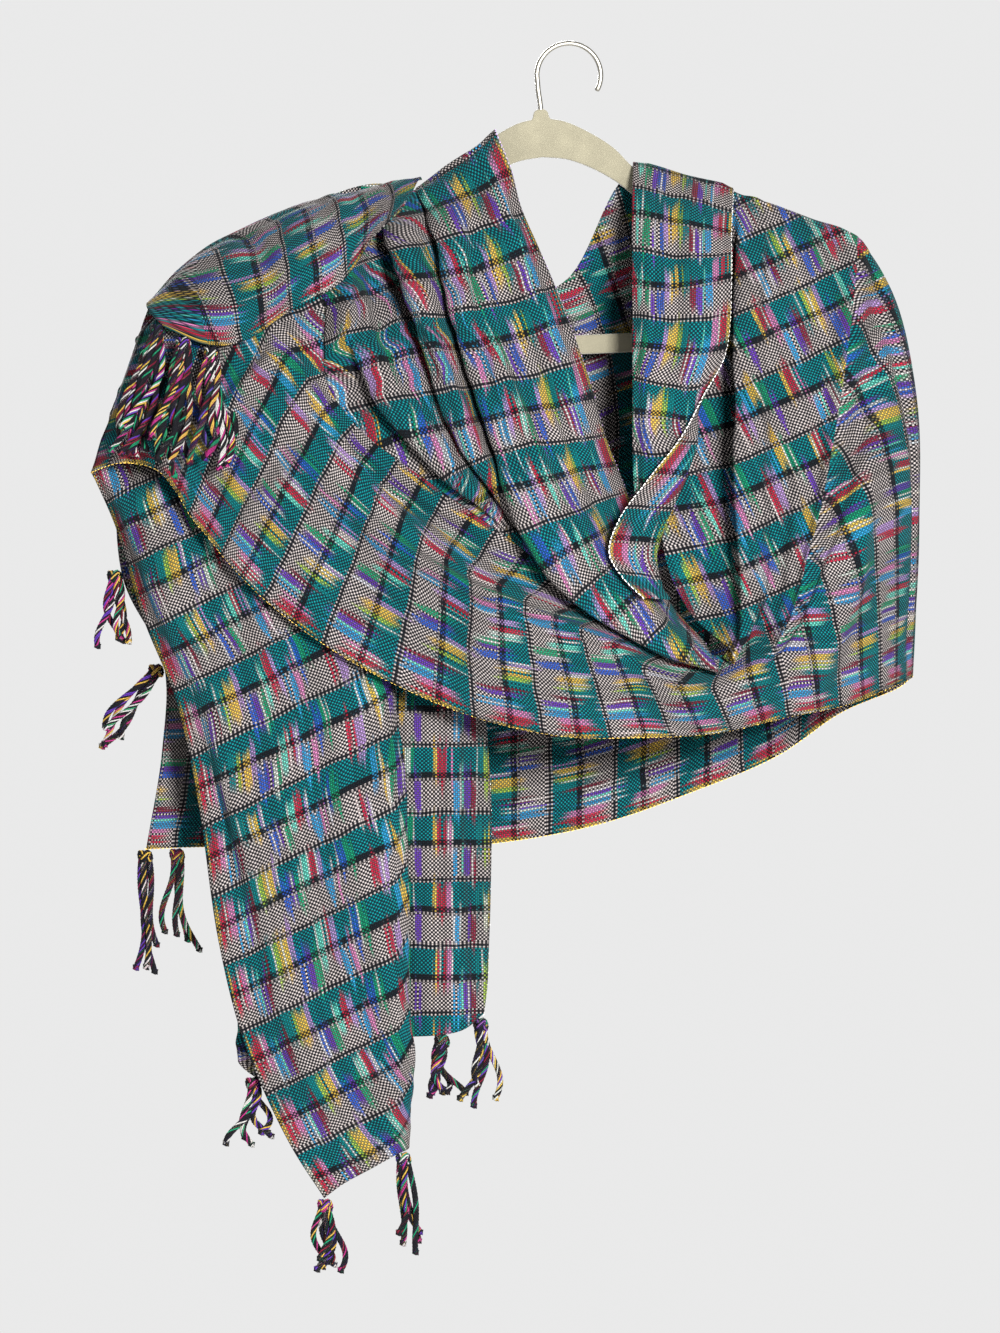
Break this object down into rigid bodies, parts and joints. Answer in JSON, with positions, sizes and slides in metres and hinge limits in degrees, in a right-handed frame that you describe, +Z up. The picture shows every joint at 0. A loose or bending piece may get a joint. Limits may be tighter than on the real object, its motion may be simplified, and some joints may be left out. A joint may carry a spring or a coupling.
{
  "type": "rebozo shawl on a hanger",
  "caption": "Striped handwoven shawl with a knotted fringe, folded and wound once round a flat hanger, cowl at the neck, one end hanging.",
  "frame": {"origin": "inner top of the hook's crown, where the hanger is held", "axes": "+Z up, +X to the viewer's right, +Y away from the viewer, so the front of the shawl faces -Y"},
  "size_m": [0.5354, 0.1434, 0.7831],
  "materials": {
    "woven_cloth": "matte handwoven cotton with many-coloured weft stripes",
    "fringe_yarn": "matte twisted cotton yarn",
    "flocked_plastic": "short beige flock",
    "hook_wire": "bright drawn wire"
  },
  "bodies": {
    "root": {"hanger_body": "flocked_plastic", "hanger_hook": "hook_wire", "front_drape": "woven_cloth", "neck_cowl": "woven_cloth", "right_fall": "woven_cloth", "right_lapel": "woven_cloth", "back_drape": "woven_cloth", "shoulder_end": "woven_cloth", "hanging_end": "woven_cloth", "tassel_shoulder_outer": "fringe_yarn", "tassel_shoulder_middle": "fringe_yarn", "tassel_shoulder_inner": "fringe_yarn", "tassel_left_upper": "fringe_yarn", "tassel_left_middle": "fringe_yarn", "tassel_back_left": "fringe_yarn", "tassel_back_corner": "fringe_yarn", "tassel_inner_left": "fringe_yarn", "tassel_front_left": "fringe_yarn", "tassel_front_right": "fringe_yarn", "tassel_inner_middle": "fringe_yarn", "tassel_inner_right": "fringe_yarn"}
  },
  "joints": []
}
